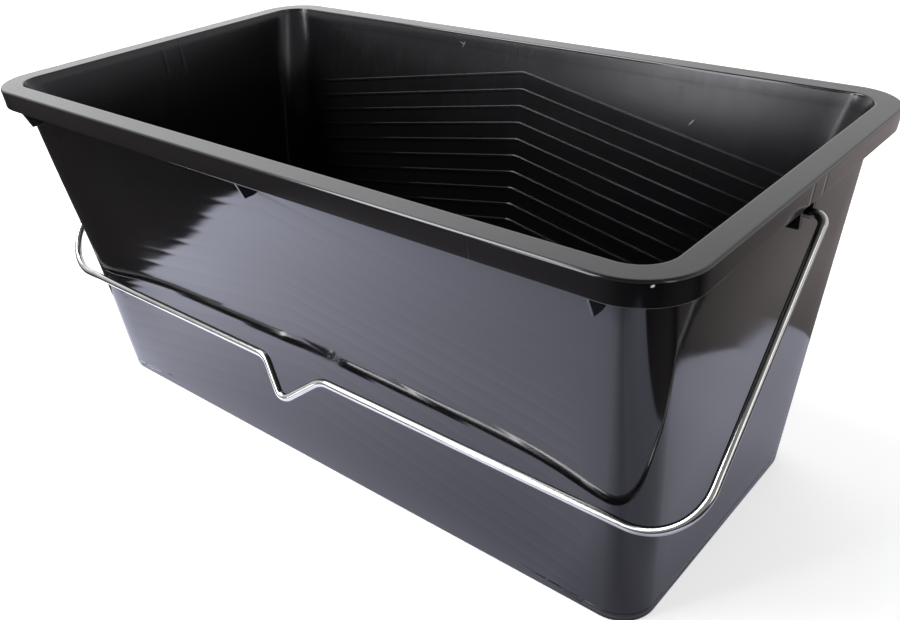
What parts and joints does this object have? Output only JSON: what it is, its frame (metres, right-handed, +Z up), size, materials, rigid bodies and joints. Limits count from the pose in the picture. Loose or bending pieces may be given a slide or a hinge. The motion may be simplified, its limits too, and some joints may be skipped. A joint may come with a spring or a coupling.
{
  "type": "paint roller scuttle",
  "caption": "Deep rectangular tapered plastic scuttle for paint rollers, with a turned-down rim, chevron wringing ribs on its long inside walls and a swinging steel wire bail.",
  "frame": {"origin": "centre of the flat underside of the tub", "axes": "+X along the long side, +Y towards the back long wall, +Z up; the bail rests on the front wall, the -Y side"},
  "size_m": [0.432, 0.236, 0.19],
  "materials": {
    "black_polypropylene": "glossy moulded black polypropylene, satin on the flat rim",
    "bright_wire": "bright zinc-plated steel wire"
  },
  "bodies": {
    "tub": {"tub": "black_polypropylene"},
    "bail": {"bail": "bright_wire"}
  },
  "joints": [
    {"name": "bail_swing", "type": "hinge", "parent": "tub", "child": "bail", "pos_m": [0, 0, 0.174], "axis": [-1, 0, 0], "range_deg": [0, 275.6]}
  ]
}
